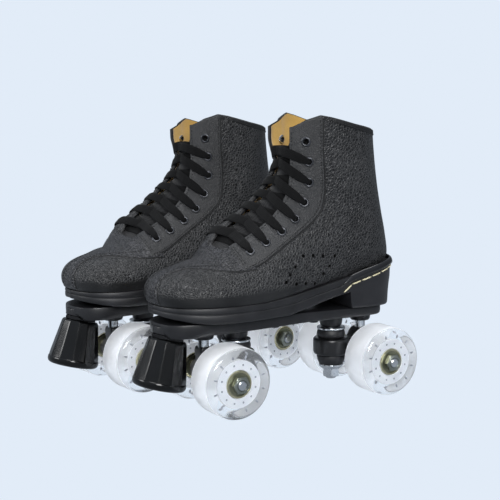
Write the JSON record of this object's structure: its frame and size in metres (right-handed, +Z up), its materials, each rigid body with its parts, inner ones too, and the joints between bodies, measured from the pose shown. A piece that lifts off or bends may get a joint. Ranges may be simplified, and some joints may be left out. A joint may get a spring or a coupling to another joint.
{
  "type": "pair of quad roller skates",
  "caption": "Pair of laced ankle-high quad roller skates: leather boots on plates with cushioned steering trucks, clear wheels on ball bearings and rubber toe stops.",
  "frame": {"origin": "on the floor plane, under the middle of the bounding box of both skates together", "axes": "+X towards the toes of the left skate, +Y towards the left skate's outer side, +Z up"},
  "size_m": [0.2724, 0.245, 0.2353],
  "materials": {
    "leather": "pebbled, satin",
    "tongue_fabric": "knitted, matte",
    "lining": "brushed, matte",
    "sole": "satin",
    "lace": "flat woven, matte",
    "plate": "satin",
    "stop_rubber": "glossy",
    "black_steel": "black oxide",
    "hanger": "black enamel",
    "steel": "bright zinc",
    "zinc_steel": "bright zinc",
    "bearing_steel": "ground, lightly yellow passivated",
    "cushion_rubber": "matte",
    "wheel_urethane": "clear tyre over a white core"
  },
  "bodies": {
    "left_skate": {"left_boot_upper": "leather", "left_tongue": "tongue_fabric", "left_insole": "lining", "left_sole_unit": "sole", "left_lace": "lace", "left_plate": "plate", "left_toe_stop": "stop_rubber", "left_toe_stop_locknut": "black_steel", "left_front_kingpin": "steel", "left_rear_kingpin": "steel", "left_front_upper_cushion": "cushion_rubber", "left_front_lower_cushion": "cushion_rubber", "left_rear_upper_cushion": "cushion_rubber", "left_rear_lower_cushion": "cushion_rubber"},
    "left_front_truck": {"left_front_hanger": "hanger", "left_front_axle": "steel", "left_front_outer_axle_nut": "zinc_steel", "left_front_inner_axle_nut": "zinc_steel"},
    "left_front_outer_wheel_set": {"left_front_outer_wheel": "wheel_urethane", "left_front_outer_bearings": "bearing_steel"},
    "left_front_inner_wheel_set": {"left_front_inner_wheel": "wheel_urethane", "left_front_inner_bearings": "bearing_steel"},
    "left_rear_truck": {"left_rear_hanger": "hanger", "left_rear_axle": "steel", "left_rear_outer_axle_nut": "zinc_steel", "left_rear_inner_axle_nut": "zinc_steel"},
    "left_rear_outer_wheel_set": {"left_rear_outer_wheel": "wheel_urethane", "left_rear_outer_bearings": "bearing_steel"},
    "left_rear_inner_wheel_set": {"left_rear_inner_wheel": "wheel_urethane", "left_rear_inner_bearings": "bearing_steel"},
    "right_skate": {"right_boot_upper": "leather", "right_tongue": "tongue_fabric", "right_insole": "lining", "right_sole_unit": "sole", "right_lace": "lace", "right_plate": "plate", "right_toe_stop": "stop_rubber", "right_toe_stop_locknut": "black_steel", "right_front_kingpin": "steel", "right_rear_kingpin": "steel", "right_front_upper_cushion": "cushion_rubber", "right_front_lower_cushion": "cushion_rubber", "right_rear_upper_cushion": "cushion_rubber", "right_rear_lower_cushion": "cushion_rubber"},
    "right_front_truck": {"right_front_hanger": "hanger", "right_front_axle": "steel", "right_front_outer_axle_nut": "zinc_steel", "right_front_inner_axle_nut": "zinc_steel"},
    "right_front_outer_wheel_set": {"right_front_outer_wheel": "wheel_urethane", "right_front_outer_bearings": "bearing_steel"},
    "right_front_inner_wheel_set": {"right_front_inner_wheel": "wheel_urethane", "right_front_inner_bearings": "bearing_steel"},
    "right_rear_truck": {"right_rear_hanger": "hanger", "right_rear_axle": "steel", "right_rear_outer_axle_nut": "zinc_steel", "right_rear_inner_axle_nut": "zinc_steel"},
    "right_rear_outer_wheel_set": {"right_rear_outer_wheel": "wheel_urethane", "right_rear_outer_bearings": "bearing_steel"},
    "right_rear_inner_wheel_set": {"right_rear_inner_wheel": "wheel_urethane", "right_rear_inner_bearings": "bearing_steel"}
  },
  "joints": [
    {"name": "left_front_steer", "type": "hinge", "parent": "left_skate", "child": "left_front_truck", "pos_m": [0.04384, 0.06441, 0.055], "axis": [0.8624, 0, 0.5062], "range_deg": [-7, 7], "stiffness_Nm_per_rad": 12, "deforming": ["left_front_upper_cushion", "left_front_lower_cushion"]},
    {"name": "left_front_outer_wheel_spin", "type": "hinge", "parent": "left_front_truck", "child": "left_front_outer_wheel_set", "pos_m": [0.03944, 0.10191, 0.029], "axis": [0, 1, 0], "continuous": true},
    {"name": "left_front_inner_wheel_spin", "type": "hinge", "parent": "left_front_truck", "child": "left_front_inner_wheel_set", "pos_m": [0.03944, 0.02691, 0.029], "axis": [0, 1, 0], "continuous": true},
    {"name": "left_rear_steer", "type": "hinge", "parent": "left_skate", "child": "left_rear_truck", "pos_m": [-0.11116, 0.06441, 0.055], "axis": [-0.8624, 0, 0.5062], "range_deg": [-7, 7], "stiffness_Nm_per_rad": 12, "deforming": ["left_rear_upper_cushion", "left_rear_lower_cushion"]},
    {"name": "left_rear_outer_wheel_spin", "type": "hinge", "parent": "left_rear_truck", "child": "left_rear_outer_wheel_set", "pos_m": [-0.10676, 0.10191, 0.029], "axis": [0, 1, 0], "continuous": true},
    {"name": "left_rear_inner_wheel_spin", "type": "hinge", "parent": "left_rear_truck", "child": "left_rear_inner_wheel_set", "pos_m": [-0.10676, 0.02691, 0.029], "axis": [0, 1, 0], "continuous": true},
    {"name": "right_front_steer", "type": "hinge", "parent": "right_skate", "child": "right_front_truck", "pos_m": [0.07428, -0.04997, 0.055], "axis": [0.8585, 0.0827, 0.5062], "range_deg": [-7, 7], "stiffness_Nm_per_rad": 12, "deforming": ["right_front_upper_cushion", "right_front_lower_cushion"]},
    {"name": "right_front_outer_wheel_spin", "type": "hinge", "parent": "right_front_truck", "child": "right_front_outer_wheel_set", "pos_m": [0.0735, -0.08772, 0.029], "axis": [0.0958, -0.9954, 0], "continuous": true},
    {"name": "right_front_inner_wheel_spin", "type": "hinge", "parent": "right_front_truck", "child": "right_front_inner_wheel_set", "pos_m": [0.06631, -0.01306, 0.029], "axis": [0.0958, -0.9954, 0], "continuous": true},
    {"name": "right_rear_steer", "type": "hinge", "parent": "right_skate", "child": "right_rear_truck", "pos_m": [-0.08, -0.06482, 0.055], "axis": [-0.8585, -0.0827, 0.5062], "range_deg": [-7, 7], "stiffness_Nm_per_rad": 12, "deforming": ["right_rear_upper_cushion", "right_rear_lower_cushion"]},
    {"name": "right_rear_outer_wheel_spin", "type": "hinge", "parent": "right_rear_truck", "child": "right_rear_outer_wheel_set", "pos_m": [-0.07203, -0.10173, 0.029], "axis": [0.0958, -0.9954, 0], "continuous": true},
    {"name": "right_rear_inner_wheel_spin", "type": "hinge", "parent": "right_rear_truck", "child": "right_rear_inner_wheel_set", "pos_m": [-0.07922, -0.02707, 0.029], "axis": [0.0958, -0.9954, 0], "continuous": true},
    {"name": "right_skate_lift", "type": "slide", "parent": "left_skate", "child": "right_skate", "axis": [0, 0, 1], "range_m": [0, 0.3]}
  ]
}
